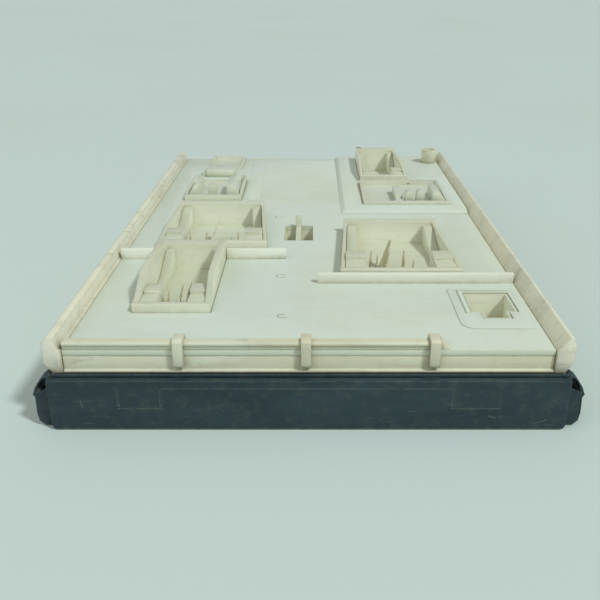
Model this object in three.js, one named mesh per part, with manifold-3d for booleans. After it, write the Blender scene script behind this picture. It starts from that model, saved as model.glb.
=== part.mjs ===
// A small walled terrain board: a pale moulded deck with four roofless rooms, and a dark
// front bar that pushes on from the front.
// Millimetres. X runs across, Y from the front bar to the back edge, Z up from the table.
import * as THREE from 'three';
import { mergeVertices } from 'three/addons/utils/BufferGeometryUtils.js';
import Module from 'manifold-3d';

const wasm = await Module();
wasm.setup();

// ---- Driving dimensions ----
const FIT = 0.3; // gap between a piece and the neighbour that it drops into
const BOARD_LENGTH = 321.5; // front face of the bar to the back edge
const DECK_TOP = 31.5;
const DECK_THICKNESS = 2.5;
const DECK_HALF_WIDTH = 94.7;
const DECK_FRONT = 10;
const RAIL_INNER = 95; // where the side rails meet the deck
const RAIL_OUTER = 102;
const RAIL_TOP = 37.2;
const RAIL_BOTTOM = 22.1;
const WALL_FRONT = 7; // front face of the board's front wall
const SKIRT_HALF_WIDTH = 94;
const SKIRT_THICKNESS = 2.6;
const FLOOR_TOP = 25.5; // floor of the sunken rooms
const FLOOR_THICKNESS = 1.6;
const BAR_HALF_WIDTH = 100;
const BAR_TOP = 21.7;
const BAR_FACE = 2.6; // thickness of the bar's front plate
const TONGUE = { centre: 62, width: 18, bottom: 8, height: 6, length: 34 };

// ---- Colours ----
const FINISH = {
  deck: { color: 0xe6e8dc, roughness: 0.48 },
  ivory: { color: 0xe3ddc4, roughness: 0.5 },
  room: { color: 0xe0dcc6, roughness: 0.52 },
  slate: { color: 0x2b3a44, roughness: 0.42 },
};

// ---- Solids ----

// Turns a closed three.js geometry into a solid that can be cut and joined.
function solid(geometry) {
  const bare = geometry.clone();
  bare.deleteAttribute('normal');
  bare.deleteAttribute('uv');
  const merged = mergeVertices(bare, 1e-4);
  return new wasm.Manifold(new wasm.Mesh({
    numProp: 3,
    vertProperties: new Float32Array(merged.attributes.position.array),
    triVerts: new Uint32Array(merged.index.array),
  }));
}

// An upright box between two corners.
function block(x0, x1, y0, y1, z0, z1) {
  const box = new THREE.BoxGeometry(x1 - x0, y1 - y0, z1 - z0);
  box.translate((x0 + x1) / 2, (y0 + y1) / 2, (z0 + z1) / 2);
  return solid(box);
}

function extrude(outline, depth, curveSegments = 8) {
  const shape = Array.isArray(outline)
    ? new THREE.Shape(outline.map(([a, b]) => new THREE.Vector2(a, b)))
    : outline;
  return new THREE.ExtrudeGeometry(shape, { depth, bevelEnabled: false, curveSegments });
}

// An outline drawn in plan (x, y), raised from z0 to z1.
function raised(outline, z0, z1) {
  const body = extrude(outline, z1 - z0);
  body.translate(0, 0, z0);
  return solid(body);
}

// An outline drawn from the front (x, z), running back from y0 to y1.
function frontOutline(outline, y0, y1) {
  const body = extrude(outline, y1 - y0);
  body.rotateX(Math.PI / 2);
  body.translate(0, y1, 0);
  return solid(body);
}

// An outline drawn from the right-hand side (y, z), running across from x0 to x1.
function sideOutlineShape(outline, x0, x1) {
  const body = extrude(outline, x1 - x0);
  body.rotateX(Math.PI / 2);
  body.rotateZ(Math.PI / 2);
  body.translate(x0, 0, 0);
  return body;
}

function sideOutline(outline, x0, x1) {
  return solid(sideOutlineShape(outline, x0, x1));
}

function upright(x, y, radius, z0, z1) {
  const rod = new THREE.CylinderGeometry(radius, radius, z1 - z0, 28);
  rod.rotateX(Math.PI / 2);
  rod.translate(x, y, (z0 + z1) / 2);
  return solid(rod);
}

function join(first, ...others) {
  return others.reduce((whole, piece) => whole.add(piece), first);
}

function cut(first, ...tools) {
  return tools.reduce((whole, tool) => whole.subtract(tool), first);
}

const board = new THREE.Group();
board.position.y = -BOARD_LENGTH / 2;

function add(name, body, finish) {
  const { vertProperties, triVerts } = body.getMesh();
  const geometry = new THREE.BufferGeometry();
  geometry.setAttribute('position', new THREE.BufferAttribute(new Float32Array(vertProperties), 3));
  geometry.setIndex(new THREE.BufferAttribute(new Uint32Array(triVerts), 1));
  geometry.computeVertexNormals();
  const mesh = new THREE.Mesh(geometry, new THREE.MeshStandardMaterial({ ...FINISH[finish], metalness: 0 }));
  mesh.name = name;
  board.add(mesh);
}

// ---- Rooms: four sunken tubs that drop through the deck ----
// wallTop is the back wall's height, sill the height of the low front wall. The side walls
// keep the height sideTop as far forward as sideFront, then fall to the sill.
const ROOMS = {
  front_left_room: {
    left: -75.3, right: -42, taper: [1, 0], front: 40.7, back: 109, wallTop: 39.4, sill: 35.5,
    sideTop: 42.8, sideFront: 60, sideFoot: 46, stairWidth: 7.4, stairBack: 60, wall: 2.6,
    fins: [
      { at: -58.8, front: 46, back: 58, height: 12.3, lean: 3.2 },
      { at: -54.6, front: 46, back: 62, height: 12.6, lean: 1.9 },
    ],
  },
  mid_left_room: {
    left: -79.6, right: -22.2, taper: [3.2, 5], front: 120, back: 181, wallTop: 39.4, sill: 35.5,
    sideTop: 38.8, sideFront: 152, sideFoot: 123, stairWidth: 9.6, stairBack: 138, wall: 1.9,
    fins: [
      { at: -57.6, front: 126, back: 138, height: 10, lean: 2 },
      { at: -55.4, front: 127, back: 151.5, height: 14.1, lean: 6.2 },
      { at: -39.2, front: 125, back: 136, height: 10, lean: 0.5 },
    ],
  },
  mid_right_room: {
    left: 14.6, right: 71.8, taper: [4.2, 2.4], front: 76, back: 148.6, wallTop: 38.6, sill: 37.3,
    sideTop: 37, sideFront: 128, sideFoot: 80, stairWidth: 9.8, stairBack: 97, wall: 1.9,
    fins: [
      { at: 29.8, front: 84, back: 100, height: 12.6, lean: 0.8 },
      { at: 32.4, front: 84, back: 93, height: 13.6, lean: 0.6 },
      { at: 36, front: 82, back: 110, height: 15.8, lean: 5 },
      { at: 46.1, front: 84, back: 98, height: 13.6, lean: 0.3 },
    ],
  },
  back_right_room: {
    left: 34.2, right: 66, taper: [0, 3], front: 247.5, back: 311.5, wallTop: 42.4, sill: 37.6,
    sideTop: 41.4, sideFront: 270, sideFoot: 250, stairWidth: 7.2, stairBack: 264, wall: 1.9,
    fins: [],
  },
};
const SHOULDER = 5.2; // the notched ledge in each back corner
const SILL_DEPTH = 2.4;
const BACK_WALL = 2.9;

// A room's plan narrows towards its back by taper = [left, right]. inset shrinks it.
function roomPlan(room, inset, front, back, z0, z1) {
  const slope = room.taper.map((narrowing) => narrowing / (room.back - room.front));
  const leftAt = (y) => room.left + inset + slope[0] * (y - room.front);
  const rightAt = (y) => room.right - inset - slope[1] * (y - room.front);
  return raised([
    [leftAt(front), front], [rightAt(front), front], [rightAt(back), back], [leftAt(back), back],
  ], z0, z1);
}

// The tub: floor, back wall and two side walls in one piece, open at the front.
function roomWalls(room) {
  const low = FLOOR_TOP - FLOOR_THICKNESS;
  const backFace = room.back - BACK_WALL;
  const tub = cut(
    roomPlan(room, 0, room.front + SILL_DEPTH + FIT, room.back, low, 50),
    roomPlan(room, room.wall, room.front, backFace, FLOOR_TOP, 51),
  );
  const shoulderDrop = 1.6;
  const clearance = sideOutline([
    [room.front - 1, room.sill],
    [room.sideFoot, room.sill],
    [room.sideFront, room.sideTop],
    [backFace - SHOULDER, room.sideTop],
    [backFace - SHOULDER, room.wallTop - shoulderDrop],
    [backFace, room.wallTop - shoulderDrop],
    [backFace, room.wallTop],
    [room.back + 1, room.wallTop],
    [room.back + 1, 52],
    [room.front - 1, 52],
  ], room.left - 1, room.right + 1);
  return cut(tub, clearance);
}

// One corner stair: two treads behind the sill, and a narrow buttress that rises behind
// them to the shoulder in the back corner.
function roomStair(room, side) {
  const back = room.back - BACK_WALL - FIT;
  const front = room.front + SILL_DEPTH + FIT;
  const treadDepth = (room.stairBack - front) / 2;
  const treadRise = 1.5;
  const base = DECK_TOP - 2;
  const buttressTop = back - 4;
  const buttressFoot = buttressTop - 0.45 * (buttressTop - room.stairBack);
  const profile = sideOutline([
    [front, FLOOR_TOP + 0.05],
    [back, FLOOR_TOP + 0.05],
    [back, room.wallTop - 2.8],
    [buttressTop, room.wallTop - 2.8],
    [buttressFoot, base],
    [room.stairBack, base],
    [room.stairBack, room.sill + treadRise],
    [front + treadDepth, room.sill + treadRise],
    [front + treadDepth, room.sill],
    [front, room.sill],
  ], room.left - 1, room.right + 1);
  const inside = roomPlan(room, room.wall + FIT, front, back, FLOOR_TOP, 50);
  // What is left of the room's width is cleared away: all but the stair at the front, and
  // all but the narrower buttress behind it.
  const buttressWidth = room.stairWidth * 0.55;
  const far = room.right - room.left;
  const cleared = [
    roomPlan(room, room.wall + room.stairWidth, front - 1, room.stairBack, FLOOR_TOP - 1, 51),
    roomPlan(room, room.wall + buttressWidth, room.stairBack, back + 1, FLOOR_TOP - 1, 51),
  ];
  const middle = (room.left + room.right) / 2;
  const otherSide = block(
    side > 0 ? middle - far : middle, side > 0 ? middle : middle + far,
    front - 1, back + 1, FLOOR_TOP - 1, 51,
  );
  return cut(profile.intersect(inside), ...cleared, otherSide);
}

// The low front wall between the two stairs, with a foot on the tub's floor line.
function roomSill(room) {
  return sideOutline([
    [room.front, FLOOR_TOP - FLOOR_THICKNESS],
    [room.front + SILL_DEPTH, FLOOR_TOP - FLOOR_THICKNESS],
    [room.front + SILL_DEPTH, room.sill],
    [room.front + 0.4, room.sill],
    [room.front, room.sill - 0.4],
  ], room.left, room.right);
}

// A thin broken fin: jagged along its top, standing on the room's floor.
function roomFin(fin) {
  const thickness = 1.1;
  const length = fin.back - fin.front;
  const edge = [[0.12, 0.3], [0.3, 0.42], [0.38, 0.36], [0.62, 0.74], [0.7, 0.68], [0.9, 1], [1, 0.93]];
  const outline = [
    [fin.front, FLOOR_TOP + 0.05],
    [fin.back, FLOOR_TOP + 0.05],
    ...edge.map(([along, up]) => [fin.front + along * length, FLOOR_TOP + up * fin.height]).reverse(),
  ];
  const plate = sideOutlineShape(outline, fin.at - thickness / 2, fin.at + thickness / 2);
  // Leans sideways from its foot.
  const lean = fin.lean / fin.height;
  plate.translate(0, 0, -FLOOR_TOP);
  plate.applyMatrix4(new THREE.Matrix4().makeShear(0, 0, 0, 0, lean, 0));
  plate.translate(0, 0, FLOOR_TOP);
  return solid(plate);
}

for (const [name, room] of Object.entries(ROOMS)) {
  add(`${name}_walls`, roomWalls(room), 'room');
  add(`${name}_sill`, roomSill(room), 'ivory');
  add(`${name}_left_stair`, roomStair(room, -1), 'room');
  add(`${name}_right_stair`, roomStair(room, 1), 'room');
  room.fins.forEach((fin, index) => add(`${name}_fin_${index + 1}`, roomFin(fin), 'room'));
}

// ---- Deck and its raised rear terrace ----
const COURT = { left: 33, right: 85.5, front: 193.5, back: 243, floor: 32.2, sill: 35.2 };
const YARD = { left: -79.5, right: -43.7, front: 208.5, back: 256, floor: 30.8, sill: 34.8 };
const POCKET = { left: 69, right: 89, front: 41, back: 61, floor: 20.5 };
const POCKET_NOTCH = { left: 73, right: 85, front: 34.5, floor: 27.6 };
const TERRACE = { left: 18.5, front: 180, top: 33.3, bevel: 4.5 };
const SLOTS = { left: -13.8, right: 1.8, front: 132.5, back: 157, web: [-7.6, -4.8] };
const SEAT = 0.05; // gap under a piece that stands on the deck

function opening(place, z0, z1) {
  return block(place.left - FIT, place.right + FIT, place.front - FIT, place.back + FIT, z0, z1);
}

const roomOpening = (room, z0, z1) => roomPlan(room, -FIT, room.front - FIT, room.back + FIT, z0, z1);
const notchCut = (z0, z1) => block(
  POCKET_NOTCH.left - FIT, POCKET_NOTCH.right + FIT, POCKET_NOTCH.front - FIT, POCKET.front + 1, z0, z1,
);
const deck = cut(
  block(-DECK_HALF_WIDTH, DECK_HALF_WIDTH, WALL_FRONT, BOARD_LENGTH, DECK_TOP - DECK_THICKNESS, DECK_TOP),
  ...Object.values(ROOMS).map((room) => roomOpening(room, 20, 40)),
  opening(COURT, 20, 40),
  opening(YARD, 20, 40),
  opening(POCKET, 20, 40),
  notchCut(20, 40),
  block(SLOTS.left, SLOTS.right, SLOTS.front, SLOTS.back, 20, 40),
);
add('deck_plate', deck, 'deck');

// A thin sheet with bevelled front and left edges, cut out round the rear court and room.
const terraceFront = sideOutline([
  [TERRACE.front, DECK_TOP + SEAT],
  [BOARD_LENGTH, DECK_TOP + SEAT],
  [BOARD_LENGTH, TERRACE.top],
  [TERRACE.front + TERRACE.bevel, TERRACE.top],
], TERRACE.left, DECK_HALF_WIDTH);
const terraceLeft = frontOutline([
  [TERRACE.left, DECK_TOP],
  [DECK_HALF_WIDTH + 1, DECK_TOP],
  [DECK_HALF_WIDTH + 1, TERRACE.top + 1],
  [TERRACE.left + TERRACE.bevel, TERRACE.top + 1],
], TERRACE.front - 1, BOARD_LENGTH + 1);
add('rear_terrace', cut(
  terraceFront.intersect(terraceLeft),
  opening(COURT, 30, 40),
  roomOpening(ROOMS.back_right_room, 30, 40),
), 'deck');

// ---- Side rails, front wall and the skirts that stand on the table ----
const RIGHT_RAIL = [
  [RAIL_INNER, RAIL_BOTTOM], [RAIL_OUTER - 3.2, RAIL_BOTTOM], [RAIL_OUTER, RAIL_BOTTOM + 4.2],
  [RAIL_OUTER, RAIL_TOP - 2.4], [RAIL_OUTER - 1.5, RAIL_TOP], [RAIL_OUTER - 2.6, RAIL_TOP],
  [RAIL_INNER, DECK_TOP],
];
const LEFT_RAIL = [
  [-RAIL_INNER, RAIL_BOTTOM], [-RAIL_INNER, DECK_TOP], [-RAIL_INNER - 1, DECK_TOP + 0.4],
  [-RAIL_INNER - 1.5, RAIL_TOP], [-RAIL_OUTER + 2.3, RAIL_TOP], [-RAIL_OUTER, RAIL_TOP - 2.6],
  [-RAIL_OUTER, RAIL_BOTTOM + 4.2], [-RAIL_OUTER + 3.2, RAIL_BOTTOM],
];
const RAIL_FRONT = 5.8;
add('left_side_rail', frontOutline(LEFT_RAIL, RAIL_FRONT, BOARD_LENGTH), 'ivory');
add('right_side_rail', frontOutline(RIGHT_RAIL, RAIL_FRONT, BOARD_LENGTH), 'ivory');

// The front wall hangs under the deck's front edge and ends in a small forward lip.
const UNDER_DECK = DECK_TOP - DECK_THICKNESS - SEAT;
add('front_wall', sideOutline([
  [WALL_FRONT + 2.6, UNDER_DECK], [WALL_FRONT, UNDER_DECK], [WALL_FRONT, 23.4],
  [WALL_FRONT - 0.9, 23], [WALL_FRONT - 0.9, 22], [WALL_FRONT + 2.6, 22],
], -DECK_HALF_WIDTH, DECK_HALF_WIDTH), 'ivory');

const skirtInner = SKIRT_HALF_WIDTH - SKIRT_THICKNESS;
const SKIRT_FRONT = 10.6;
const SKIRT_BACK = 319;
for (const [name, side] of [['left_skirt', -1], ['right_skirt', 1]]) {
  const faces = [side * SKIRT_HALF_WIDTH, side * skirtInner].sort((a, b) => a - b);
  add(name, block(...faces, SKIRT_FRONT, SKIRT_BACK, 0, UNDER_DECK), 'ivory');
}
const betweenSkirts = skirtInner - FIT;
add('back_skirt', block(
  -betweenSkirts, betweenSkirts, SKIRT_BACK - SKIRT_THICKNESS, SKIRT_BACK, 0, UNDER_DECK,
), 'ivory');
const tongueSlots = [-1, 1].map((side) => block(
  side * TONGUE.centre - TONGUE.width / 2 - 0.4, side * TONGUE.centre + TONGUE.width / 2 + 0.4,
  SKIRT_FRONT - 1, SKIRT_FRONT + SKIRT_THICKNESS + 1,
  TONGUE.bottom - 0.4, TONGUE.bottom + TONGUE.height + 0.4,
));
add('front_skirt', cut(
  block(-betweenSkirts, betweenSkirts, SKIRT_FRONT, SKIRT_FRONT + SKIRT_THICKNESS, 0, UNDER_DECK),
  ...tongueSlots,
), 'ivory');

// ---- Front kerb rail with its three clip straps ----
const KERB = { left: -94.4, right: 50.6, front: WALL_FRONT - 0.6, back: 11.6, top: 34.9 };
const kerbLip = 0.6;
add('front_kerb', sideOutline([
  [KERB.front + kerbLip, DECK_TOP + SEAT], [KERB.back, DECK_TOP + SEAT], [KERB.back, KERB.top - 1],
  [KERB.back - 1.2, KERB.top], [KERB.front + 0.5, KERB.top], [KERB.front, KERB.top - 0.5],
  [KERB.front, KERB.top - 1.3], [KERB.front + kerbLip, KERB.top - 1.9],
], KERB.left, KERB.right), 'ivory');

// A strap hooks over the kerb from a low hump behind it and runs down the front wall.
const STRAP_WIDTH = 4;
const strapOutline = [
  [15.4, DECK_TOP + SEAT], [14.4, DECK_TOP + 1.9], [12.6, KERB.top + 0.9], [11.4, KERB.top + 1.5],
  [KERB.front, KERB.top + 1.5], [KERB.front - 1.3, KERB.top + 0.4], [KERB.front - 1.5, 26.2],
  [KERB.front - 1.1, 24.8], [KERB.front - SEAT, 24.2], [KERB.front - SEAT, KERB.top + SEAT],
  [KERB.back + SEAT, KERB.top + SEAT], [KERB.back + SEAT, DECK_TOP + SEAT],
];
for (const [name, centre] of [['left', -50], ['centre', -1], ['right', 48.3]]) {
  add(`${name}_clip_strap`, sideOutline(
    strapOutline, centre - STRAP_WIDTH / 2, centre + STRAP_WIDTH / 2,
  ), 'ivory');
}

// ---- Low walls across the deck ----
function lowWall(name, x0, x1, front, height) {
  const top = DECK_TOP + height;
  add(name, sideOutline([
    [front, DECK_TOP + SEAT], [front + 2.2, DECK_TOP + SEAT], [front + 2.2, top - 0.3],
    [front + 1.9, top], [front + 0.3, top], [front, top - 0.3],
  ], x0, x1), 'ivory');
}
const frontRoom = ROOMS.front_left_room;
lowWall('left_low_wall', -DECK_HALF_WIDTH, frontRoom.left - FIT, 104.4, 5.3);
lowWall('middle_low_wall', frontRoom.right + FIT, -11.6, 104.4, 5.3);
lowWall('right_low_wall', 3.8, DECK_HALF_WIDTH, 72.8, 4.8);

// ---- Corner pocket: a pad with a lip, and the cup that hangs under it ----
const PAD = { left: 62.5, right: 92, front: 25, back: 65.5, top: 31.85, corner: 6 };
const padOutline = new THREE.Shape();
padOutline.moveTo(PAD.left + PAD.corner, PAD.front);
padOutline.lineTo(PAD.right, PAD.front);
padOutline.lineTo(PAD.right, PAD.back);
padOutline.lineTo(PAD.left, PAD.back);
padOutline.lineTo(PAD.left, PAD.front + PAD.corner);
padOutline.absarc(PAD.left + PAD.corner, PAD.front + PAD.corner, PAD.corner, Math.PI, 1.5 * Math.PI);
const pocketLip = join(
  raised(padOutline, DECK_TOP + SEAT, PAD.top),
  block(POCKET.left - 2.4, POCKET.right + 0.6, POCKET.back + 0.6, POCKET.back + 2, PAD.top - 0.2, 33),
  block(POCKET.left - 2.4, POCKET.left - 1, POCKET.front - 2, POCKET.back + 2, PAD.top - 0.2, 32.6),
);
add('corner_pocket_pad', cut(pocketLip, opening(POCKET, 30, 40), notchCut(30, 40)), 'deck');
const cupWall = 1.4;
add('corner_pocket_cup', cut(
  join(
    block(POCKET.left, POCKET.right, POCKET.front, POCKET.back, POCKET.floor - cupWall, DECK_TOP),
    block(
      POCKET_NOTCH.left, POCKET_NOTCH.right, POCKET_NOTCH.front, POCKET.front + 1,
      POCKET_NOTCH.floor - cupWall, DECK_TOP,
    ),
  ),
  block(
    POCKET.left + cupWall, POCKET.right - cupWall, POCKET.front + cupWall, POCKET.back - cupWall,
    POCKET.floor, 40,
  ),
  block(
    POCKET_NOTCH.left + cupWall, POCKET_NOTCH.right - cupWall,
    POCKET_NOTCH.front + cupWall, POCKET.front + cupWall + 1, POCKET_NOTCH.floor, 40,
  ),
), 'room');

// ---- Rear courts: shallow tubs with a sill, small arches and leaning cheeks ----
function courtTub(place, wallTop) {
  return cut(
    block(place.left, place.right, place.front, place.back, place.floor - 1.4, wallTop),
    block(place.left + 1.3, place.right - 1.3, place.front + 2, place.back - 1.3, place.floor, 60),
  );
}

// A thin upright with a round head, as wide as its arch.
function arch(centre, width, front, depth, foot, top) {
  const radius = width / 2;
  const outline = new THREE.Shape();
  outline.moveTo(centre - radius, foot);
  outline.lineTo(centre + radius, foot);
  outline.lineTo(centre + radius, top - radius);
  outline.absarc(centre, top - radius, radius, 0, Math.PI);
  return frontOutline(outline, front, front + depth);
}

// A gusset that leans against a side wall: upright on its inner side, sloped on its outer.
function gusset(inner, outer, front, depth, foot, top) {
  const outward = Math.sign(outer - inner);
  const outline = [
    [inner, foot], [outer, foot], [outer, foot + 2.4],
    [inner + outward * 3.4, top], [inner, top],
  ];
  return frontOutline(outward > 0 ? outline : outline.reverse(), front, front + depth);
}

// The rear court's walls drop to the sill line at the front; a slit parts its back wall.
const courtWalls = cut(
  courtTub(COURT, COURT.sill + 0.6),
  sideOutline([
    [COURT.front - 1, COURT.sill], [COURT.front + 16, COURT.sill], [COURT.front + 30, COURT.sill + 0.6],
    [COURT.front + 30, 60], [COURT.front - 1, 60],
  ], COURT.left - 1, COURT.right + 1),
  block(65.6, 66.8, COURT.back - 3, COURT.back + 1, COURT.floor + 0.6, 60),
);
add('rear_court_walls', courtWalls, 'room');
const courtFoot = COURT.floor + SEAT;
add('rear_court_step', join(
  block(53.4, 58, COURT.front + 4, COURT.front + 30, courtFoot, 34.6),
  block(53.4, 58, COURT.front + 10, COURT.front + 30, 34, 37),
), 'room');
add('rear_court_left_arch', arch(61.4, 5, COURT.front + 5, 5, courtFoot, 40.2), 'room');
add('rear_court_right_arch', arch(68.6, 5.2, COURT.front + 5, 5, courtFoot, 40.6), 'room');
add('rear_court_cheek', gusset(75.8, 83.8, COURT.front + 5, 22, courtFoot, 39.6), 'room');

const yardWalls = cut(
  courtTub(YARD, YARD.sill + 0.8),
  block(YARD.left + 4, YARD.right - 4, YARD.back - 6, YARD.back + 1, DECK_TOP + 0.8, 60),
  block(YARD.left - 1, YARD.right + 1, YARD.front - 1, YARD.front + 8, YARD.sill, 60),
);
add('rear_yard_walls', yardWalls, 'room');
const yardFoot = YARD.floor + SEAT;
add('rear_yard_arch', arch(-62.6, 5.6, YARD.front + 7, 5, yardFoot, 40), 'room');
add('rear_yard_left_cheek', gusset(-71, -77.8, YARD.front + 6, 26, yardFoot, 39.4), 'room');
add('rear_yard_right_cheek', gusset(-53.4, -45.4, YARD.front + 6, 24, yardFoot, 39.4), 'room');
add('rear_yard_block', join(
  block(-73, -54, 266, 279, DECK_TOP + SEAT, 36.9),
  block(-76, -72, 268, 279, DECK_TOP + SEAT, 34.6),
), 'ivory');
add('rear_yard_tray', cut(
  block(-74, -50, 287, 319.5, DECK_TOP + SEAT, 34),
  block(-72.4, -51.6, 288.6, 317.8, DECK_TOP + 0.8, 40),
), 'ivory');

// ---- Centre slots: a small box under the deck, with a web that parts its two slots ----
const slotWall = 1.4;
const slotFloor = 20;
const slotBox = cut(
  block(
    SLOTS.left - slotWall, SLOTS.right + slotWall, SLOTS.front - slotWall, SLOTS.back + slotWall,
    slotFloor - slotWall, UNDER_DECK,
  ),
  block(SLOTS.left, SLOTS.web[0], SLOTS.front, SLOTS.back, slotFloor, 40),
  block(SLOTS.web[1], SLOTS.right, SLOTS.front, SLOTS.back, slotFloor, 40),
);
// The web rises through the deck, and a round-headed tab stands on its back end.
const web = block(...SLOTS.web, SLOTS.front + FIT, SLOTS.back - FIT, UNDER_DECK - 1, DECK_TOP);
const tab = arch(-6.2, 3.4, SLOTS.back - 2, 1.7, DECK_TOP - 0.2, 38);
add('centre_slots', join(slotBox, web, tab), 'ivory');

// ---- Corner boss ----
const BOSS = { x: 88.6, y: 303.5, radius: 5.3, bore: 3.7, top: 43 };
add('corner_boss', cut(
  upright(BOSS.x, BOSS.y, BOSS.radius, TERRACE.top + SEAT, BOSS.top),
  upright(BOSS.x, BOSS.y, BOSS.bore, 36, BOSS.top + 1),
), 'ivory');

// ---- Front bar: a thin plate on a channel, with hollow ears and two tongues ----
const CORNER = 2.4;
const face = new THREE.Shape();
face.moveTo(-BAR_HALF_WIDTH, BAR_TOP);
face.lineTo(-BAR_HALF_WIDTH, CORNER);
face.absarc(-BAR_HALF_WIDTH + CORNER, CORNER, CORNER, Math.PI, 1.5 * Math.PI);
face.absarc(BAR_HALF_WIDTH - CORNER, CORNER, CORNER, 1.5 * Math.PI, 2 * Math.PI);
face.lineTo(BAR_HALF_WIDTH, BAR_TOP);
add('front_bar_face', frontOutline(face, 0, BAR_FACE), 'slate');

const CHANNEL = { front: BAR_FACE + SEAT, back: 9.9, top: 20.4, wall: 1.8, bottom: 0.4 };
const channel = cut(
  block(-BAR_HALF_WIDTH, BAR_HALF_WIDTH, CHANNEL.front, CHANNEL.back, CHANNEL.bottom, CHANNEL.top),
  block(
    -BAR_HALF_WIDTH + 2, BAR_HALF_WIDTH - 2,
    CHANNEL.front + CHANNEL.wall, CHANNEL.back - CHANNEL.wall, -1, CHANNEL.top - CHANNEL.wall,
  ),
);
const tongues = [-1, 1].map((side) => block(
  side * TONGUE.centre - TONGUE.width / 2, side * TONGUE.centre + TONGUE.width / 2,
  CHANNEL.back - 1, CHANNEL.back + TONGUE.length, TONGUE.bottom, TONGUE.bottom + TONGUE.height,
));
const ridge = block(-BAR_HALF_WIDTH, BAR_HALF_WIDTH, 3.9, 5.2, CHANNEL.top - 1, 22.4);
add('front_bar_channel', join(channel, ridge, ...tongues), 'slate');

const EAR = [
  [100.05, 0], [103.7, 0], [106, 2.3], [106.5, 5.8], [106.2, 12.9], [107, 14], [105.6, 17.4],
  [103.2, 21], [101.4, 22.4], [100.05, 22.4],
];
const EAR_HOLLOW = [[100.9, 17], [105.2, 15], [104, 18.6], [102.4, 20.8], [100.9, 21.4]];
const mirrored = (outline) => outline.map(([x, z]) => [-x, z]).reverse();
const EAR_DEPTH = [3, 8.6];
for (const [name, shape] of [['left', mirrored], ['right', (outline) => outline]]) {
  add(`${name}_bar_ear`, cut(
    frontOutline(shape(EAR), ...EAR_DEPTH),
    frontOutline(shape(EAR_HOLLOW), EAR_DEPTH[0] - 1, EAR_DEPTH[1] - 1.5),
  ), 'slate');
}

export default board;
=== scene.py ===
# A walled terrain board in pale moulded plastic, with four roofless rooms sunk through its
# deck and a dark bar along its front. Metres: X across, Y to the back, Z up from the table.
import math
import random

import bpy
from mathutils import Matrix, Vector


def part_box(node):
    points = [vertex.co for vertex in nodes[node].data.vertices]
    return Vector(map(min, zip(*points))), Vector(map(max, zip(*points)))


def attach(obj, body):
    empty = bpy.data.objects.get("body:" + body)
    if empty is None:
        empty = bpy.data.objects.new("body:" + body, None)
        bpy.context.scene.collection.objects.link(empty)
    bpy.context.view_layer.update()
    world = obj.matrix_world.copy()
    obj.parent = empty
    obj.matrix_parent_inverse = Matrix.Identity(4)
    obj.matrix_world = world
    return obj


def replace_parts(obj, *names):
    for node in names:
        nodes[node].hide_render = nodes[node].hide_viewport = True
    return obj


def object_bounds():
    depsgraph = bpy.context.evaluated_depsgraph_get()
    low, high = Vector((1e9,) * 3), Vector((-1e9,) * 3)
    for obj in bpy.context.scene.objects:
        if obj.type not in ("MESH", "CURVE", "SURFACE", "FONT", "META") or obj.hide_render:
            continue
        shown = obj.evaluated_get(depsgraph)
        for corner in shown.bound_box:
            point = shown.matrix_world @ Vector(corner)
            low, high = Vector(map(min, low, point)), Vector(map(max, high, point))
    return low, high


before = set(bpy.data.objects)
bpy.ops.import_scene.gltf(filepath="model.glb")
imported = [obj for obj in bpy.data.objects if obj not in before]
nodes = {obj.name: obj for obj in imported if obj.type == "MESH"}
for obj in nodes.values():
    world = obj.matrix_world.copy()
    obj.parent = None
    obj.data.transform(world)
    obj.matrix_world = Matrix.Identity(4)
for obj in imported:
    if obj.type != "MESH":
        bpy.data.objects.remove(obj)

packed_low, packed_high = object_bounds()
front, back = packed_low.y, packed_high.y
scene = bpy.context.scene
scene.view_settings.view_transform = "Standard"

# ---- Camera ----
# It stands a little above the board and in front of its bar, looking down the deck.
CAMERA_DISTANCE = 0.23944
CAMERA_HEIGHT = 0.16307
CAMERA_SIDE = 0.00125
CAMERA_PITCH = 24.16

lens = bpy.data.cameras.new("front_camera")
lens.sensor_width = 36
lens.lens = 43.74
lens.shift_x = -0.02
lens.clip_start = 0.01
camera = bpy.data.objects.new("front_camera", lens)
camera.location = (CAMERA_SIDE, front - CAMERA_DISTANCE, CAMERA_HEIGHT)
camera.rotation_euler = (math.radians(90 - CAMERA_PITCH), 0, 0)
scene.collection.objects.link(camera)
scene.camera = camera

# ---- Table and lights ----
# A wide pale laminate table top with a soft sheen. A lamp hangs high to the front right of
# the board, a much broader one to its front left, and the pale room lights the shadows.
TABLE_REACH = 7.0


def new_mesh(name, points, faces):
    mesh = bpy.data.meshes.new(name)
    mesh.from_pydata(points, [], faces)
    mesh.update()
    piece = bpy.data.objects.new(name, mesh)
    scene.collection.objects.link(piece)
    return piece


def new_material(name):
    made = bpy.data.materials.new(name)
    made.use_nodes = True
    tree = made.node_tree
    tree.nodes.clear()
    shader = tree.nodes.new("ShaderNodeBsdfPrincipled")
    output = tree.nodes.new("ShaderNodeOutputMaterial")
    tree.links.new(shader.outputs[0], output.inputs[0])
    return made, tree, shader


def colour(hex_code):
    """A colour written as on a paint chart, as linear values."""
    parts = [int(hex_code[i:i + 2], 16) / 255 for i in (0, 2, 4)]
    return [c / 12.92 if c < 0.04045 else ((c + 0.055) / 1.055) ** 2.4 for c in parts] + [1]


def put(tree, kind, inputs=None, **settings):
    """A shader node with its settings, and its inputs by name or number: a value or a socket."""
    node = tree.nodes.new(kind)
    for key, value in settings.items():
        setattr(node, key, value)
    for key, value in (inputs or {}).items():
        if isinstance(value, bpy.types.NodeSocket):
            tree.links.new(value, node.inputs[key])
        else:
            node.inputs[key].default_value = value
    return node


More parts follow.
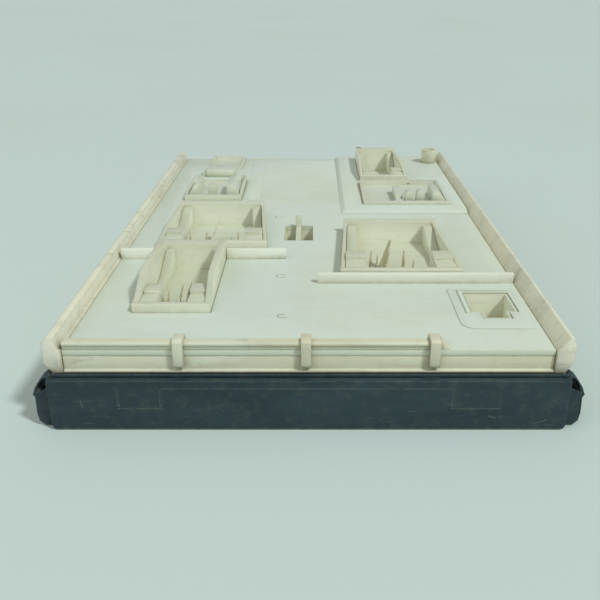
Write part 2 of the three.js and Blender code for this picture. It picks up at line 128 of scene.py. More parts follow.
def ramp(tree, value, *stops):
    """A smooth ramp of grey levels: stops are (place, level)."""
    node = put(tree, "ShaderNodeValToRGB", {0: value})
    elements = node.color_ramp.elements
    while len(elements) < len(stops):
        elements.new(0.5)
    for element, (place, level) in zip(elements, stops):
        element.position = place
        element.color = (level, level, level, 1)
    return node.outputs[0]


def mixed(tree, share, first, second):
    """Two colours mixed by share."""
    node = put(tree, "ShaderNodeMix", data_type="RGBA", blend_type="MIX")
    for key, value in ((0, share), (6, first), (7, second)):
        if isinstance(value, bpy.types.NodeSocket):
            tree.links.new(value, node.inputs[key])
        else:
            node.inputs[key].default_value = value
    return node.outputs[2]


def maths(tree, operation, *values, clamp=False):
    node = put(tree, "ShaderNodeMath", dict(enumerate(values)), operation=operation)
    node.use_clamp = clamp
    return node.outputs[0]


table_top = new_mesh("table_top", [
    (-TABLE_REACH, -TABLE_REACH, 0), (TABLE_REACH, -TABLE_REACH, 0),
    (TABLE_REACH, TABLE_REACH, 0), (-TABLE_REACH, TABLE_REACH, 0),
], [(0, 1, 2, 3)])
laminate, tree, shader = new_material("table_laminate")
place = put(tree, "ShaderNodeTexCoord").outputs["Object"]
smears = put(tree, "ShaderNodeTexNoise", {"Vector": place, "Scale": 3.0, "Detail": 4.0})
specks = put(tree, "ShaderNodeTexVoronoi", {"Vector": place, "Scale": 30.0})
smear_mask = ramp(tree, smears.outputs[0], (0.35, 0.0), (0.75, 0.35))
smeared = mixed(tree, smear_mask, colour("c4d3ce"), colour("bfd2d3"))
speck_mask = ramp(tree, specks.outputs["Distance"], (0.0, 0.3), (0.016, 0.0))
tree.links.new(mixed(tree, speck_mask, smeared, colour("8c9894")), shader.inputs["Base Color"])
shine = put(tree, "ShaderNodeMapRange", {
    "Value": smears.outputs[0], "From Min": 0.3, "From Max": 0.7, "To Min": 0.48, "To Max": 0.6,
})
tree.links.new(shine.outputs[0], shader.inputs["Roughness"])
table_top.data.materials.append(laminate)

world = bpy.data.worlds.new("pale_room")
scene.world = world
world.use_nodes = True
ROOM_LIGHT = 0.35
world.node_tree.nodes["Background"].inputs[0].default_value = (1.0, 1.0, 0.96, 1)
world.node_tree.nodes["Background"].inputs[1].default_value = ROOM_LIGHT


def far_lamp(name, towards, spread, power, tint):
    """A distant soft lamp: towards points from the board to it, and spread is its width as an angle."""
    lamp = bpy.data.lights.new(name, "SUN")
    lamp.angle = math.radians(spread)
    lamp.energy = power
    lamp.color = tint
    holder = bpy.data.objects.new(name, lamp)
    holder.rotation_euler = (-Vector(towards)).to_track_quat("-Z", "Y").to_euler()
    scene.collection.objects.link(holder)


far_lamp("key_lamp", (0.515, -0.361, 0.777), 8, 1.95, (0.97, 1.0, 0.99))
far_lamp("fill_lamp", (-0.66, -0.34, 0.67), 60, 0.72, (0.97, 1.0, 1.0))

# ---- Deck and rear terrace ----
# The flat moulded panel that everything stands on, and the thin raised sheet at its back
# right. Pale moulded plastic, smooth from the tool, faintly cool where it has not yellowed.


def shader_group(name, inputs, outputs):
    """An empty node group with named inputs (kind, default) and outputs (kind)."""
    group = bpy.data.node_groups.new(name, "ShaderNodeTree")
    for label, (kind, default) in inputs.items():
        socket = group.interface.new_socket(label, in_out="INPUT", socket_type=f"NodeSocket{kind}")
        socket.default_value = default
    for label, kind in outputs.items():
        group.interface.new_socket(label, in_out="OUTPUT", socket_type=f"NodeSocket{kind}")
    return group, group.nodes.new("NodeGroupInput").outputs, group.nodes.new("NodeGroupOutput").inputs


# Masks for creases, which take painted shade with dirt on the pale plastics and dust on the dark bar,
# and for edges that rub.
group, given, result = shader_group("creases_and_edges", {
    "Crease Reach": ("Float", 0.004), "Edge Reach": ("Float", 0.0006), "Wear Scale": ("Float", 220.0),
}, {"Crease": "Float", "Edge": "Float"})
shade = put(group, "ShaderNodeAmbientOcclusion", {"Distance": given["Crease Reach"]}, samples=6)
patchy = put(group, "ShaderNodeTexNoise", {
    "Vector": put(group, "ShaderNodeTexCoord").outputs["Object"], "Scale": given["Wear Scale"],
    "Detail": 4.0, "Roughness": 0.65,
})
closed = ramp(group, shade.outputs["AO"], (0.35, 1.0), (0.92, 0.0))
uneven = ramp(group, patchy.outputs[0], (0.3, 0.35), (0.62, 1.0))
group.links.new(maths(group, "MULTIPLY", closed, uneven, clamp=True), result["Crease"])
rounded = put(group, "ShaderNodeBevel", {"Radius": given["Edge Reach"]}, samples=4)
facing = put(group, "ShaderNodeVectorMath", {
    0: rounded.outputs[0], 1: put(group, "ShaderNodeNewGeometry").outputs["Normal"],
}, operation="DOT_PRODUCT")
corner = ramp(group, facing.outputs["Value"], (0.8, 1.0), (0.985, 0.0))
broken_up = ramp(group, patchy.outputs[0], (0.36, 0.0), (0.54, 1.0))
group.links.new(maths(group, "MULTIPLY", corner, broken_up, clamp=True), result["Edge"])
creases_and_edges = group

# The moulded plastic itself: light and shade painted by face, cooler on its upward faces and warmer on
# its sides, clouded by age, streaked by handling, with flow marks, grey rubs and a fine tool grain, and
# painted shade with dirt in its creases.
group, given, result = shader_group("aged_moulding_painted_shade", {
    "Top": ("Color", (1, 1, 1, 1)), "Side": ("Color", (1, 1, 1, 1)), "Aged": ("Color", (1, 1, 1, 1)),
    "Grime And Shade": ("Color", (0.2, 0.2, 0.2, 1)), "Age": ("Float", 0.5), "Dirt And Shade": ("Float", 0.5),
    "Crease": ("Float", 0.0), "Edge": ("Float", 0.0), "Gloss": ("Float", 0.45),
}, {"Color": "Color", "Roughness": "Float", "Height": "Float"})
place = put(group, "ShaderNodeTexCoord").outputs["Object"]
tilt = put(group, "ShaderNodeSeparateXYZ", {
    0: put(group, "ShaderNodeNewGeometry").outputs["Normal"],
}).outputs[2]
upward = ramp(group, maths(group, "ABSOLUTE", tilt), (0.25, 0.0), (0.85, 1.0))
clouds = put(group, "ShaderNodeTexNoise", {
    "Vector": place, "Scale": 16.0, "Detail": 4.0, "Roughness": 0.6, "Distortion": 0.4,
}).outputs[0]
stretched = put(group, "ShaderNodeMapping", {"Vector": place, "Scale": (14.0, 60.0, 60.0)})
flow = put(group, "ShaderNodeTexNoise", {
    "Vector": stretched.outputs[0], "Scale": 1.0, "Detail": 6.0, "Roughness": 0.55, "Distortion": 0.8,
}).outputs[0]
blots = put(group, "ShaderNodeTexNoise", {
    "Vector": place, "Scale": 70.0, "Detail": 5.0, "Roughness": 0.7,
}).outputs[0]
grain = put(group, "ShaderNodeTexNoise", {"Vector": place, "Scale": 2600.0, "Detail": 2.0}).outputs[0]
pits = put(group, "ShaderNodeTexVoronoi", {"Vector": place, "Scale": 95.0, "Randomness": 1.0})
rubs = put(group, "ShaderNodeMapping", {
    "Vector": place, "Scale": (45.0, 420.0, 420.0), "Rotation": (0.0, 0.0, 0.35),
})
hairlines = put(group, "ShaderNodeTexNoise", {
    "Vector": rubs.outputs[0], "Scale": 1.0, "Detail": 3.0, "Roughness": 0.5,
}).outputs[0]

# Painted light and shade: upward faces take the Top tone and upright faces the Side tone.
base = mixed(group, upward, given["Side"], given["Top"])
cloudy = ramp(group, clouds, (0.36, 0.0), (0.66, 1.0))
age_share = maths(group, "MULTIPLY", cloudy, given["Age"], clamp=True)
base = mixed(group, age_share, base, given["Aged"])
flow_share = maths(group, "MULTIPLY", ramp(group, flow, (0.46, 0.0), (0.72, 0.22)), given["Dirt And Shade"])
base = mixed(group, flow_share, base, given["Grime And Shade"])
blot_share = maths(group, "MULTIPLY", ramp(group, blots, (0.56, 0.0), (0.78, 0.5)), given["Dirt And Shade"])
base = mixed(group, blot_share, base, given["Grime And Shade"])
hair_lines = ramp(group, hairlines, (0.62, 0.0), (0.74, 0.3))
hair_share = maths(group, "MULTIPLY", hair_lines, given["Dirt And Shade"])
base = mixed(group, hair_share, base, given["Grime And Shade"])
# Painted shade with dirt: creases darken toward the grime and aged tones, more where there is more
# dirt.
crease_shade_and_dirt = maths(group, "ADD", given["Dirt And Shade"], 0.15)
crease_share = maths(group, "MULTIPLY", given["Crease"], crease_shade_and_dirt, clamp=True)
base = mixed(group, crease_share, base, mixed(group, 0.5, given["Grime And Shade"], given["Aged"]))
edge_dirt = maths(group, "MULTIPLY", given["Dirt And Shade"], 1.1)
edge_share = maths(group, "MULTIPLY", given["Edge"], edge_dirt, clamp=True)
base = mixed(group, edge_share, base, given["Grime And Shade"])
pit_dots = ramp(group, pits.outputs["Distance"], (0.0, 0.9), (0.035, 0.0))
pit_share = maths(group, "MULTIPLY", pit_dots, given["Dirt And Shade"])
base = mixed(group, pit_share, base, colour("4a4438"))
group.links.new(base, result["Color"])
rough = maths(group, "ADD", given["Gloss"], maths(group, "MULTIPLY", blots, 0.14))
rough = maths(group, "ADD", rough, maths(group, "MULTIPLY", given["Crease"], 0.15), clamp=True)
group.links.new(rough, result["Roughness"])
fine_grain = maths(group, "MULTIPLY", grain, 0.25)
height = maths(group, "ADD", fine_grain, maths(group, "MULTIPLY", blots, 0.55))
height = maths(group, "SUBTRACT", height, maths(group, "MULTIPLY", hair_share, 0.6))
height = maths(group, "SUBTRACT", height, maths(group, "MULTIPLY", pit_share, 0.8))
group.links.new(height, result["Height"])
aged_moulding_painted_shade = group
GRAIN_DEPTH = 0.00012


def moulded_plastic(name, top, side, aged, grime_and_shade, age, dirt_and_shade, gloss=0.42, crease_reach=0.004):
    """A pale moulded plastic with its own tones, light and shade painted by face and in creases, and
    its own share of age and dirt.
    """
    made, tree, shader = new_material(name)
    masks = put(tree, "ShaderNodeGroup", {}, node_tree=creases_and_edges)
    masks.inputs["Crease Reach"].default_value = crease_reach
    surface = put(tree, "ShaderNodeGroup", {}, node_tree=aged_moulding_painted_shade)
    for label, value in (
        ("Top", colour(top)), ("Side", colour(side)), ("Aged", colour(aged)), ("Grime And Shade", colour(grime_and_shade)),
        ("Age", age), ("Dirt And Shade", dirt_and_shade), ("Gloss", gloss),
    ):
        surface.inputs[label].default_value = value
    tree.links.new(masks.outputs["Crease"], surface.inputs["Crease"])
    tree.links.new(masks.outputs["Edge"], surface.inputs["Edge"])
    relief = put(tree, "ShaderNodeBump", {
        "Height": surface.outputs["Height"], "Strength": 0.6, "Distance": GRAIN_DEPTH,
    })
    tree.links.new(surface.outputs["Color"], shader.inputs["Base Color"])
    tree.links.new(surface.outputs["Roughness"], shader.inputs["Roughness"])
    tree.links.new(relief.outputs[0], shader.inputs["Normal"])
    shader.inputs["IOR"].default_value = 1.49
    return made


# Every moulded edge has a small tool radius: the solid's facets are welded, its edges
# rounded, and what is nearly smooth is shaded smooth.
smoothing = bpy.data.node_groups.new("shade_round_edges", "GeometryNodeTree")
smoothing.interface.new_socket("Geometry", in_out="INPUT", socket_type="NodeSocketGeometry")
smoothing.interface.new_socket("Geometry", in_out="OUTPUT", socket_type="NodeSocketGeometry")
smooth_in = smoothing.nodes.new("NodeGroupInput")
smooth_out = smoothing.nodes.new("NodeGroupOutput")
edge_angle = smoothing.nodes.new("GeometryNodeInputMeshEdgeAngle")
SHARP_ANGLE = math.radians(40)
sharp = put(smoothing, "FunctionNodeCompare", {0: edge_angle.outputs[0]}, operation="LESS_EQUAL")
sharp.inputs[1].default_value = SHARP_ANGLE
faces_smooth = put(smoothing, "GeometryNodeSetShadeSmooth", {0: smooth_in.outputs[0]}, domain="FACE")
edges_smooth = put(smoothing, "GeometryNodeSetShadeSmooth", {
    0: faces_smooth.outputs[0], "Shade Smooth": sharp.outputs[0],
}, domain="EDGE")
smoothing.links.new(edges_smooth.outputs[0], smooth_out.inputs[0])


WELD_REACH = 1e-6
EASED_ANGLE = math.radians(30)


def ease_edges(piece, radius):
    weld = piece.modifiers.new("weld", "WELD")
    weld.merge_threshold = WELD_REACH
    soften = piece.modifiers.new("eased_edges", "BEVEL")
    soften.width = radius
    soften.segments = 2
    soften.limit_method = "ANGLE"
    soften.angle_limit = EASED_ANGLE
    soften.use_clamp_overlap = True
    shading = piece.modifiers.new("shading", "NODES")
    shading.node_group = smoothing


def finish_nodes(names, material, radius):
    """These CAD nodes take a material, and a moulded radius along their edges."""
    for name in names:
        piece = nodes[name]
        piece.data.materials.clear()
        piece.data.materials.append(material)
        ease_edges(piece, radius)


FINE_RADIUS = 0.0002
# Its side tone, lighter than its top, is painted light on the deck's upright faces.
deck_plastic = moulded_plastic(
    "deck_plastic", top="ccd9cf", side="d6dfca", aged="cbd0b6", grime_and_shade="9c9c84", age=0.45, dirt_and_shade=0.34,
    gloss=0.38, crease_reach=0.004,
)
finish_nodes(["deck_plate", "rear_terrace"], deck_plastic, FINE_RADIUS)

# ---- Rooms ----
# Thin-walled tubs from the same tool as the deck, with rough rims where the plastic was cut back.
# Their floors and other upward faces take a darker tone as painted shade, their upright faces a lighter
# one as painted light, and a long crease reach adds painted shade deep in the tubs.
room_plastic = moulded_plastic(
    "room_plastic", top="c2cab6", side="e2e8d6", aged="d2d0b2", grime_and_shade="8f8868", age=0.4, dirt_and_shade=0.42,
    gloss=0.42, crease_reach=0.009,
)
LOW_WALL_RADIUS = 0.00025
for room in ("front_left_room", "mid_left_room", "mid_right_room", "back_right_room"):
    tub = [f"{room}_walls", f"{room}_left_stair", f"{room}_right_stair"]
    finish_nodes(tub, room_plastic, FINE_RADIUS)
    finish_nodes([f"{room}_sill"], room_plastic, LOW_WALL_RADIUS)

# ---- Broken fins ----
# Thin upright fins inside three rooms, torn off unevenly along their sloping tops. Each is
# moulded with its room's floor, about a millimetre thick, and leans a little from its foot.
FIN_COLUMNS = 26
FIN_ROWS = 7
FIN_TOOTH = 0.0011
FIN_PROFILE = [
    (0, 0.05), (0.12, 0.3), (0.3, 0.44), (0.38, 0.36), (0.62, 0.76), (0.7, 0.68), (0.9, 1), (1, 0.9),
]
# The fins' darker tan side tone is painted shade on their upright faces, and their darker aged tone
# adds to it.
fin_plastic = moulded_plastic(
    "fin_plastic", top="d9dfcc", side="ccc9a4", aged="b5ab80", grime_and_shade="6f6648", age=0.6, dirt_and_shade=0.6,
    gloss=0.45, crease_reach=0.003,
)
tears = random.Random(41)


def along(profile, share):
    for (x0, y0), (x1, y1) in zip(profile, profile[1:]):
        if share <= x1:
            return y0 + (y1 - y0) * (share - x0) / (x1 - x0)
    return profile[-1][1]


def torn_fin(name, low, high, leans_left=False, thickness=0.0011):
    """A closed thin plate inside the box low to high, with a ragged top."""
    foot_x, head_x = low.x + thickness / 2, high.x - thickness / 2
    if leans_left:
        foot_x, head_x = head_x, foot_x
    rise = high.z - low.z
    points = []
    tops = []
    for column in range(FIN_COLUMNS + 1):
        ragged = along(FIN_PROFILE, column / FIN_COLUMNS) * rise + tears.uniform(-1, 0.35) * FIN_TOOTH
        tops.append(min(max(ragged, 0.0012), rise))
    for side in (-1, 1):
        for column, top in enumerate(tops):
            share = column / FIN_COLUMNS
            for row in range(FIN_ROWS + 1):
                up = row / FIN_ROWS * top / rise
                half = thickness / 2 * (1 - 0.55 * up) * tears.uniform(0.85, 1)
                x = foot_x + (head_x - foot_x) * up + side * half
                points.append((x, low.y + share * (high.y - low.y), low.z + up * rise))
    stride = FIN_ROWS + 1
    other = stride * (FIN_COLUMNS + 1)
    faces = []
    for column in range(FIN_COLUMNS):
        for row in range(FIN_ROWS):
            a = column * stride + row
            b, c, d = a + stride, a + stride + 1, a + 1
            faces += [(a, d, c, b), (a + other, b + other, c + other, d + other)]
        for row in (0, FIN_ROWS):
            a, b = column * stride + row, (column + 1) * stride + row
            faces.append((a, b, b + other, a + other) if row == 0 else (a, a + other, b + other, b))
    for column in (0, FIN_COLUMNS):
        for row in range(FIN_ROWS):
            a = column * stride + row
            b = a + 1
            faces.append((a, a + other, b + other, b) if column == 0 else (a, b, b + other, a + other))
    piece = new_mesh(name, points, faces)
    piece.data.materials.append(fin_plastic)
    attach(piece, "board")
    return piece


for name in sorted(n for n in nodes if "_fin_" in n):
    low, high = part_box(name)
    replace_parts(torn_fin(f"torn_{name}", low, high), name)

# Shorter stumps between them: room, offset from the room's left side, then length and height.
STUMPS = [
    ("front_left_room", 0.0122, 0.010, 0.0112), ("mid_left_room", 0.0140, 0.012, 0.0102),
    ("mid_left_room", 0.0366, 0.005, 0.0094), ("mid_left_room", 0.0384, 0.007, 0.0084),
    ("mid_right_room", 0.0344, 0.009, 0.0115), ("mid_right_room", 0.0245, 0.006, 0.0084),
]
ROOM_FLOOR = 0.0256
STUMP_BEHIND_SILL = 0.0022
STUMP_SPREAD = 0.0018
for number, (room, across, length, rise) in enumerate(STUMPS, 1):
    sill_low, sill_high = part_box(f"{room}_sill")
    corner = Vector((sill_low.x + across, sill_high.y + STUMP_BEHIND_SILL, ROOM_FLOOR))
    torn_fin(
        f"torn_stump_{number}", corner, corner + Vector((STUMP_SPREAD, length, rise)),
        leans_left=number % 2 == 0, thickness=0.0009,
    )

# A scorched nick on the rearmost room's back left corner, where its rim was cut back hot.
scorched = moulded_plastic(
    "scorched_plastic", top="2e2a25", side="3a342c", aged="5a4f3c", grime_and_shade="14120f", age=0.5, dirt_and_shade=0.7,
    gloss=0.6, crease_reach=0.002,
)
SCORCH_SIZE = (0.0042, 0.0019, 0.00022)
SCORCH_INSET = (0.0023, 0.0012)
SCORCH_SUNK = 0.0001
SCORCH_POINTS = 14
rim_low, rim_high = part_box("back_right_room_walls")
outline = []
for step in range(SCORCH_POINTS):
    turn = 2 * math.pi * step / SCORCH_POINTS
    reach = tears.uniform(0.72, 1)
    outline.append((
        rim_low.x + SCORCH_INSET[0] + reach * SCORCH_SIZE[0] / 2 * math.cos(turn),
        rim_high.y - SCORCH_INSET[1] + reach * SCORCH_SIZE[1] / 2 * math.sin(turn),
    ))
scorch = new_mesh(
    "rim_scorch",
    [(x, y, z) for z in (rim_high.z - SCORCH_SUNK, rim_high.z + SCORCH_SIZE[2]) for x, y in outline],
    [tuple(range(SCORCH_POINTS))[::-1], tuple(range(SCORCH_POINTS, 2 * SCORCH_POINTS))]
    + [(k, (k + 1) % SCORCH_POINTS, (k + 1) % SCORCH_POINTS + SCORCH_POINTS, k + SCORCH_POINTS)
       for k in range(SCORCH_POINTS)],
)
scorch.data.materials.append(scorched)
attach(scorch, "board")

# ---- Corner pocket and centre slots ----
# Deep square sockets that hang under the deck, in the rooms' plastic, whose long crease reach paints
# shade inside them along with some dirt. The pocket's thin pad is as clean as the deck round it.
pad_plastic = moulded_plastic(
    "pad_plastic", top="ccd9cf", side="ccd7c8", aged="cbd0b6", grime_and_shade="b4b8a4", age=0.35, dirt_and_shade=0.1,
    gloss=0.38, crease_reach=0.0008,
)
finish_nodes(["corner_pocket_pad"], pad_plastic, FINE_RADIUS)
finish_nodes(["corner_pocket_cup", "centre_slots"], room_plastic, FINE_RADIUS)

# ---- Rear court and yard ----
# Two shallow tubs at the back, with small arches and leaning cheeks that stand in them, and
# a block and a tray behind the left one. All pale plastic, cleaner than the rooms.
# Their upward faces, the tub floors among them, take a darker tone as painted shade, and their upright
# faces a lighter one as painted light.
rear_plastic = moulded_plastic(
    "rear_plastic", top="c0cabe", side="dee5d3", aged="d0cfb2", grime_and_shade="8c8a70", age=0.35, dirt_and_shade=0.4,
    gloss=0.42, crease_reach=0.004,
)
finish_nodes([n for n in nodes if n.startswith(("rear_court", "rear_yard"))], rear_plastic, FINE_RADIUS)

# ---- Raised runner ----
# A very thin raised band of the deck, beside the yard, that runs to the board's back edge.
RUNNER_WIDTH = 0.0105
RUNNER_HEIGHT = 0.0004
RUNNER_FROM_YARD = 0.001
RUNNER_END_GAP = 0.004
RUNNER_SUNK = 0.0001
deck_low, deck_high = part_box("deck_plate")
yard_low, yard_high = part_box("rear_yard_walls")


def lofted_box(name, low, high, inset=0.0, right_top=None):
    """A box whose top is drawn in by inset, and whose right side may be lower."""
    right = high.z if right_top is None else right_top
    points = [
        (low.x, low.y, low.z), (high.x, low.y, low.z), (high.x, high.y, low.z), (low.x, high.y, low.z),
        (low.x + inset, low.y + inset, high.z), (high.x - inset, low.y + inset, right),
        (high.x - inset, high.y - inset, right), (low.x + inset, high.y - inset, high.z),
    ]
    faces = [(3, 2, 1, 0), (4, 5, 6, 7), (0, 1, 5, 4), (1, 2, 6, 5), (2, 3, 7, 6), (3, 0, 4, 7)]
    return new_mesh(name, points, faces)


def detail_piece(piece, material, body, radius):
    piece.data.materials.append(material)
    ease_edges(piece, radius)
    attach(piece, body)


runner_left = yard_high.x + RUNNER_FROM_YARD
detail_piece(lofted_box(
    "deck_runner", Vector((runner_left, yard_low.y + RUNNER_END_GAP, deck_high.z - RUNNER_SUNK)),
    Vector((runner_left + RUNNER_WIDTH, back - RUNNER_END_GAP, deck_high.z + RUNNER_HEIGHT)),
    inset=0.0003,
), deck_plastic, "board", radius=0.0001)

# ---- Ejector marks ----
# Shallow broken rings that the mould's ejector pins leave on the deck.
RING_RADIUS = 0.0024
RING_WIDTH = 0.00032
RING_RISE = 0.00014
RING_STEPS = 40
RING_SUNK = 0.00005
RING_SQUASH = 0.75
RING_WOBBLE = 0.03
MARKS = [(-0.0135, 0.0818, 300), (-0.0109, 0.0374, 235), (-0.0182, 0.1737, 265)]
# Their side tone, darker than their top, is painted shade on the rings' slopes.
ring_plastic = moulded_plastic(
    "ring_plastic", top="bfc5b2", side="a8a78c", aged="a29c7c", grime_and_shade="6d6a55", age=0.5, dirt_and_shade=0.8,
)
for number, (x, from_front, sweep) in enumerate(MARKS, 1):
    points, faces = [], []
    for step in range(RING_STEPS + 1):
        turn = math.radians(40 * number + sweep * step / RING_STEPS)
        wobble = RING_RADIUS * (1 + tears.uniform(-RING_WOBBLE, RING_WOBBLE))
        for r, z in ((-1, 0), (-0.5, 1), (0.5, 1), (1, 0)):
            reach = wobble + r * RING_WIDTH
            points.append((
                x + reach * math.cos(turn), front + from_front + RING_SQUASH * reach * math.sin(turn),
                deck_high.z - RING_SUNK + z * RING_RISE,
            ))
    for step in range(RING_STEPS):
        for k in range(4):
            a, b = step * 4 + k, step * 4 + (k + 1) % 4
            faces.append((b, a, a + 4, b + 4))
    faces += [(0, 1, 2, 3), tuple(RING_STEPS * 4 + k for k in (3, 2, 1, 0))]
    ring = new_mesh(f"ejector_mark_{number}", points, faces)
    ring.data.materials.append(ring_plastic)
    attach(ring, "board")

# ---- Rails, front wall, kerb and skirts ----
# The rim round the deck and the rail that runs over its front wall, held by three clip
# straps. Handled most, they are the yellowest, with dark grime and painted shade in the corners.
RIM_RADIUS = 0.0003
# Its side tone, lighter than its top, is painted light on upright faces.
rim_plastic = moulded_plastic(
    "rim_plastic", top="d2d6c0", side="d9dfca", aged="cfcaa6", grime_and_shade="857a5c", age=0.5, dirt_and_shade=0.85,
    gloss=0.44, crease_reach=0.005,
)
finish_nodes([
    "front_wall", "front_kerb", "left_clip_strap", "centre_clip_strap", "right_clip_strap",
    "left_skirt", "right_skirt", "front_skirt", "back_skirt", "corner_boss",
], rim_plastic, RIM_RADIUS)
# The rail's tones are lighter than the rim's: painted light on its inner slope, which the lamps leave
# in shade.
rail_plastic = moulded_plastic(
    "rail_plastic", top="dbe0cb", side="e4e6d6", aged="dcd6b6", grime_and_shade="6e6650", age=0.5, dirt_and_shade=0.95,
    gloss=0.44, crease_reach=0.005,
)
finish_nodes(["left_side_rail", "right_side_rail"], rail_plastic, RIM_RADIUS)
# Their side tone, lighter than their top, is painted light on their upright faces.
wall_plastic = moulded_plastic(
    "low_wall_plastic", top="e0e6d6", side="ecf2e8", aged="dedfc8", grime_and_shade="8c8567", age=0.35, dirt_and_shade=0.45,
    gloss=0.42, crease_reach=0.004,
)
finish_nodes(["left_low_wall", "middle_low_wall", "right_low_wall"], wall_plastic, LOW_WALL_RADIUS)

# A small ramp closes the kerb's right end behind the last strap.
kerb_low, kerb_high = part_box("front_kerb")
strap_low, strap_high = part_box("right_clip_strap")
RAMP_LENGTH = 0.0042
RAMP_END_HEIGHT = 0.0007
ramp_low = Vector((strap_high.x + 0.0001, kerb_low.y + 0.001, deck_high.z - 0.00005))
ramp_high = Vector((strap_high.x + RAMP_LENGTH, kerb_high.y + 0.0006, kerb_high.z + 0.0004))
detail_piece(lofted_box(
    "kerb_end_ramp", ramp_low, ramp_high, inset=0.0003,
    right_top=deck_high.z + RAMP_END_HEIGHT,
), rim_plastic, "board", radius=0.00025)

# ---- Front bar ----
# A dark slate-blue moulding: a thin face plate on a hollow channel with an ear at each end.
# Two shallow square outlines, a long line and four scratches are sunk in its face, where
# dust has settled.
GROOVE_DEPTH = 0.00014
GROOVE_WIDTH = 0.0009
face_low, face_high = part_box("front_bar_face")
TOP_LINE = 0.0189
SQUARES = [(-0.0732, -0.0568), (0.0554, 0.0738)]
SQUARE_FOOT = 0.0098


def groove(points, faces, start, end, width=GROOVE_WIDTH):
    """A straight cut in the bar's face between two points, given as across and up."""
    first = len(points)
    y0, y1 = face_low.y - 0.001, face_low.y + GROOVE_DEPTH
    run = Vector(end) - Vector(start)
    side = Vector((-run.y, run.x)).normalized() * width / 2
    outline = [Vector(start) - side, Vector(end) - side, Vector(end) + side, Vector(start) + side]
    points += [(corner.x, y, corner.y) for y in (y0, y1) for corner in outline]
    for face in ((0, 1, 2, 3), (7, 6, 5, 4), (1, 0, 4, 5), (2, 1, 5, 6), (3, 2, 6, 7), (0, 3, 7, 4)):
        faces.append(tuple(first + k for k in face))


points, faces = [], []
groove(points, faces, (SQUARES[0][1] + 0.001, TOP_LINE), (SQUARES[1][0] - 0.001, TOP_LINE))
for x0, x1 in SQUARES:
    groove(points, faces, (x0, SQUARE_FOOT + 0.001), (x0, TOP_LINE))
    groove(points, faces, (x1, SQUARE_FOOT + 0.001), (x1, TOP_LINE))
    groove(points, faces, (x0 - 0.0004, SQUARE_FOOT), (x1 + 0.0004, SQUARE_FOOT), 0.0005)
for start, end, width in (
    ((-0.0876, 0.0131), (-0.0872, 0.0102), 0.0005), ((0.087, 0.0028), (0.0926, 0.0047), 0.0004),
    ((0.0697, 0.0065), (0.0725, 0.0056), 0.0006), ((0.0735, 0.0062), (0.0792, 0.0058), 0.0003),
):
    groove(points, faces, start, end, width)
cutter = new_mesh("face_grooves", points, faces)
cutter.hide_render = True
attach(cutter, "front_bar")

# Scuffed dark plastic: dust in its grooves, pale rubs along its edges, fine scratches.
group, given, result = shader_group("scuffed_dark", {
    "Base": ("Color", (0, 0, 0, 1)), "Dust": ("Color", (1, 1, 1, 1)), "Rub": ("Color", (1, 1, 1, 1)),
    "Crease": ("Float", 0.0), "Edge": ("Float", 0.0),
}, {"Color": "Color", "Roughness": "Float", "Height": "Float"})
place = put(group, "ShaderNodeTexCoord").outputs["Object"]
drawn_out = put(group, "ShaderNodeMapping", {"Vector": place, "Scale": (14.0, 40.0, 60.0)})
haze = put(group, "ShaderNodeTexNoise", {
    "Vector": drawn_out.outputs[0],
    "Scale": 1.0, "Detail": 5.0, "Roughness": 0.6, "Distortion": 0.6,
}).outputs[0]
mottle = put(group, "ShaderNodeTexNoise", {
    "Vector": place, "Scale": 240.0, "Detail": 5.0, "Roughness": 0.7,
}).outputs[0]
grain = put(group, "ShaderNodeTexNoise", {"Vector": place, "Scale": 3000.0, "Detail": 2.0}).outputs[0]
scratch_sets = []
for turn, across, cut_off in ((0.5, 900.0, 0.735), (-0.35, 1100.0, 0.74), (1.4, 1000.0, 0.745)):
    course = put(group, "ShaderNodeMapping", {
        "Vector": place, "Scale": (55.0, 1.0, across), "Rotation": (0.0, turn, 0.0),
    })
    lines = put(group, "ShaderNodeTexNoise", {
        "Vector": course.outputs[0], "Scale": 1.0, "Detail": 2.0, "Roughness": 0.45,
    }).outputs[0]
    scratch_sets.append(ramp(group, lines, (cut_off, 0.0), (cut_off + 0.05, 1.0)))
scratches = maths(group, "ADD", maths(group, "ADD", *scratch_sets[:2]), scratch_sets[2], clamp=True)
dots = put(group, "ShaderNodeTexVoronoi", {"Vector": place, "Scale": 130.0})
dot_share = ramp(group, dots.outputs["Distance"], (0.0, 0.8), (0.05, 0.0))
body = mixed(group, ramp(group, haze, (0.42, 0.0), (0.72, 0.12)), given["Base"], given["Rub"])
body = mixed(group, ramp(group, mottle, (0.5, 0.0), (0.78, 0.16)), body, given["Dust"])
body = mixed(group, maths(group, "MULTIPLY", given["Crease"], 0.9), body, given["Dust"])
body = mixed(group, maths(group, "MULTIPLY", given["Edge"], 0.55), body, given["Rub"])
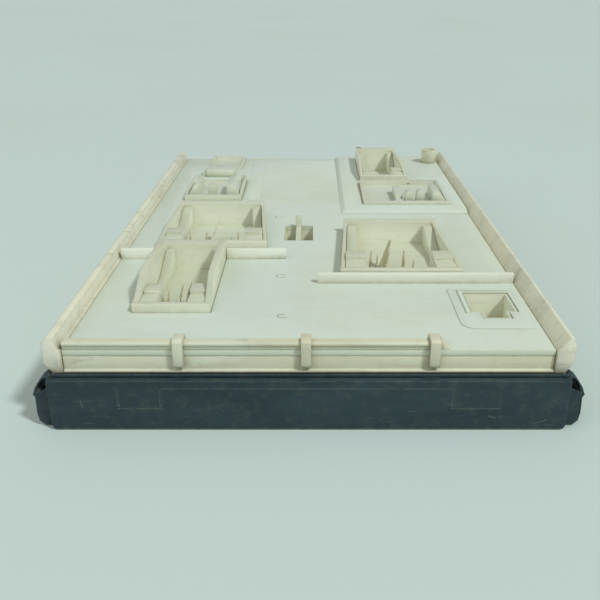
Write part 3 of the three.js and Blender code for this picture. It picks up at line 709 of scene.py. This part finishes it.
body = mixed(group, maths(group, "MULTIPLY", scratches, 0.4), body, given["Rub"])
body = mixed(group, maths(group, "MULTIPLY", dot_share, 0.35), body, given["Dust"])
group.links.new(body, result["Color"])
rough = maths(group, "ADD", 0.4, maths(group, "MULTIPLY", mottle, 0.16))
rough = maths(group, "ADD", rough, maths(group, "MULTIPLY", scratches, 0.12), clamp=True)
group.links.new(rough, result["Roughness"])
fine_grain = maths(group, "MULTIPLY", grain, 0.35)
height = maths(group, "ADD", fine_grain, maths(group, "MULTIPLY", mottle, 0.3))
height = maths(group, "SUBTRACT", height, maths(group, "MULTIPLY", scratches, 0.7))
group.links.new(height, result["Height"])
scuffed_dark = group

slate, tree, shader = new_material("slate_plastic")
masks = put(tree, "ShaderNodeGroup", {}, node_tree=creases_and_edges)
for label, value in (("Crease Reach", 0.0011), ("Edge Reach", 0.0005), ("Wear Scale", 300.0)):
    masks.inputs[label].default_value = value
surface = put(tree, "ShaderNodeGroup", {}, node_tree=scuffed_dark)
for label, value in (("Base", "172d36"), ("Dust", "7d8467"), ("Rub", "647a80")):
    surface.inputs[label].default_value = colour(value)
tree.links.new(masks.outputs["Crease"], surface.inputs["Crease"])
tree.links.new(masks.outputs["Edge"], surface.inputs["Edge"])
SLATE_GRAIN_DEPTH = 0.00008
relief = put(tree, "ShaderNodeBump", {
    "Height": surface.outputs["Height"], "Strength": 0.5, "Distance": SLATE_GRAIN_DEPTH,
})
tree.links.new(surface.outputs["Color"], shader.inputs["Base Color"])
tree.links.new(surface.outputs["Roughness"], shader.inputs["Roughness"])
tree.links.new(relief.outputs[0], shader.inputs["Normal"])
BAR_RADIUS = 0.0003
FACE_RADIUS = 0.00025
finish_nodes(["front_bar_channel", "left_bar_ear", "right_bar_ear"], slate, BAR_RADIUS)
finish_nodes(["front_bar_face"], slate, FACE_RADIUS)
sink = nodes["front_bar_face"].modifiers.new("face_grooves", "BOOLEAN")
sink.operation = "DIFFERENCE"
sink.solver = "EXACT"
sink.use_self = True
sink.object = cutter
